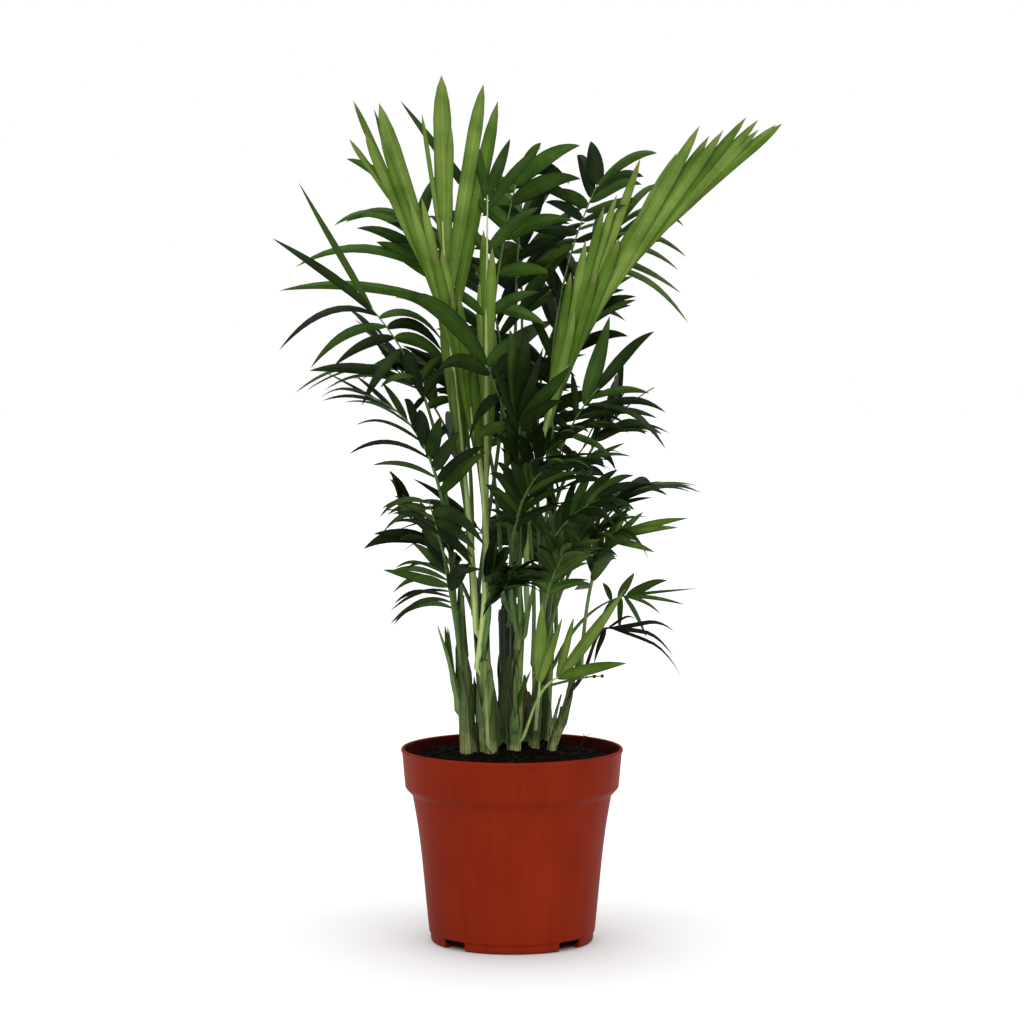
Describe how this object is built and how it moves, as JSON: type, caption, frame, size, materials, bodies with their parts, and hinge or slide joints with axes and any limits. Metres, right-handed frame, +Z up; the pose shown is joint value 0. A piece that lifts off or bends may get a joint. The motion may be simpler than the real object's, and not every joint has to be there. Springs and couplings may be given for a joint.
{
  "type": "potted parlour palm",
  "caption": "Parlour palm: a clump of slim sheathed canes with arching pinnate fronds, young spears and one withered leaf, growing in a round plastic nursery pot.",
  "frame": {"origin": "centre of the pot's flat underside, on the surface it stands on", "axes": "+Z up, -Y towards the side the picture shows, +X to that view's right"},
  "size_m": [0.272, 0.2274, 0.4708],
  "materials": {
    "pot": "satin moulded brick-red plastic",
    "soil": "moist dark peat, crumbly",
    "cane": "smooth green sheaths with dry tan edges",
    "leaf_dark": "grown leaflets, deep green, slightly glossy",
    "leaf_mid": "leaflets, mid green, slightly glossy",
    "leaf_fresh": "young leaflets and spears, yellow-green",
    "leaf_withered": "dead leaf, dull black-brown"
  },
  "bodies": {
    "root": {"pot": "pot", "soil": "soil", "cane_left": "cane", "cane_young": "cane", "cane_centre": "cane", "cane_front": "cane", "cane_husk": "cane", "cane_right": "cane", "cane_slim": "cane", "cane_leaning": "cane", "cane_back_left": "cane", "cane_back": "cane", "cane_back_right": "cane", "frond_spear_middle": "leaf_fresh", "frond_spear_left": "leaf_fresh", "frond_spear_right": "leaf_fresh", "frond_fan": "leaf_fresh", "frond_high_left": "leaf_dark", "frond_mid_left": "leaf_dark", "frond_far_left": "leaf_mid", "frond_low_left": "leaf_dark", "frond_lower_left": "leaf_dark", "frond_high_centre": "leaf_mid", "frond_high_right": "leaf_dark", "frond_mid_right": "leaf_dark", "frond_centre": "leaf_dark", "frond_inner_right": "leaf_dark", "frond_bright_right": "leaf_mid", "frond_low_right": "leaf_dark", "frond_withered": "leaf_withered", "frond_seedling_tall": "leaf_fresh", "frond_seedling_right": "leaf_fresh", "frond_outer_right": "leaf_dark", "frond_slender": "leaf_dark", "frond_centre_broad": "leaf_dark", "shoot_left": "leaf_mid", "shoot_centre": "leaf_mid", "flower_stalk": "leaf_mid", "frond_front_1": "leaf_dark", "frond_front_2": "leaf_dark", "frond_front_3": "leaf_dark", "frond_front_low_1": "leaf_dark", "frond_front_low_2": "leaf_dark", "frond_front_low_3": "leaf_dark", "frond_front_low_4": "leaf_dark", "frond_front_low_5": "leaf_dark", "frond_back_low_1": "leaf_dark", "frond_back_low_2": "leaf_dark", "frond_back_low_3": "leaf_dark", "frond_back_low_4": "leaf_dark", "frond_back_mid_1": "leaf_dark", "frond_back_mid_2": "leaf_dark", "frond_back_mid_3": "leaf_dark", "frond_back_mid_4": "leaf_dark", "frond_back_mid_5": "leaf_dark", "frond_back_high_1": "leaf_dark", "frond_back_high_2": "leaf_dark", "frond_back_high_3": "leaf_dark"}
  },
  "joints": []
}
